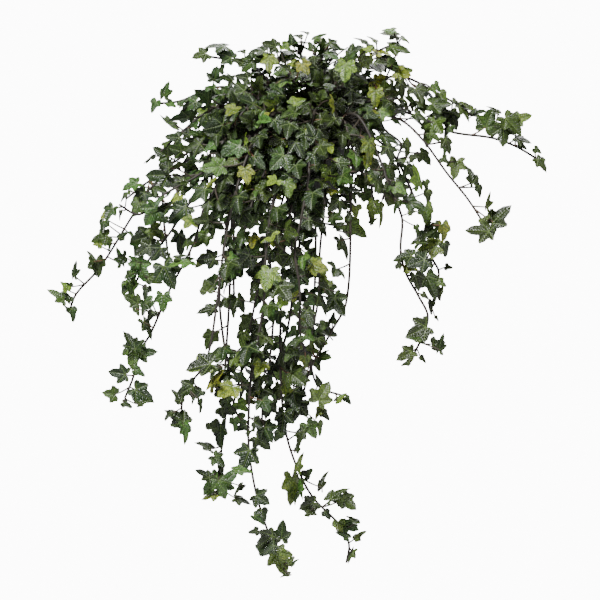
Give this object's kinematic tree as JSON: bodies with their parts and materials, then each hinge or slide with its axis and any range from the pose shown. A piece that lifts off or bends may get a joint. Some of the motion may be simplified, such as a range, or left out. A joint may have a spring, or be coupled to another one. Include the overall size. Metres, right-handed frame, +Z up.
{
  "type": "potted lace ivy",
  "caption": "Trailing ivy in a plain round nursery pot, with thin stems that arch over the rim and hang down, and small star-shaped lobed leaves.",
  "frame": {"origin": "centre of the pot's rim plane, where a ring or bracket that carries the pot would hold it", "axes": "+Z up along the pot's axis, -Y the front that the picture shows, +X to the right in the picture"},
  "size_m": [0.7912, 0.4942, 0.8798],
  "materials": {
    "pot": "matt dark green-black plastic",
    "soil": "dark crumbly peat compost",
    "ivy": "leathery leaves with a soft gloss, and thin woody stems"
  },
  "bodies": {
    "root": {"pot": "pot", "soil": "soil", "left_high": "ivy", "left_low": "ivy", "left_shoulder": "ivy", "left_inner": "ivy", "left_outer": "ivy", "left_mid": "ivy", "trail_left_short": "ivy", "trail_left_long": "ivy", "trail_left_fork": "ivy", "trail_inner_left": "ivy", "trail_inner_mid": "ivy", "trail_centre_left": "ivy", "trail_close_left": "ivy", "trail_centre": "ivy", "trail_close": "ivy", "trail_outer": "ivy", "trail_centre_right": "ivy", "trail_bare": "ivy", "right_lower": "ivy", "right_small": "ivy", "right_mid": "ivy", "right_arch": "ivy", "right_reach": "ivy", "right_upper": "ivy", "right_top": "ivy", "left_behind": "ivy", "left_top": "ivy", "back_1": "ivy", "back_2": "ivy", "back_3": "ivy", "back_4": "ivy", "back_5": "ivy", "back_6": "ivy", "back_7": "ivy", "back_8": "ivy", "back_9": "ivy", "back_10": "ivy", "back_11": "ivy", "back_12": "ivy", "crown_1": "ivy", "crown_2": "ivy", "crown_3": "ivy", "crown_4": "ivy", "crown_5": "ivy", "crown_6": "ivy", "crown_7": "ivy", "crown_8": "ivy", "crown_9": "ivy", "crown_10": "ivy", "crown_11": "ivy", "crown_12": "ivy", "crown_13": "ivy", "crown_14": "ivy", "crown_15": "ivy"}
  },
  "joints": []
}
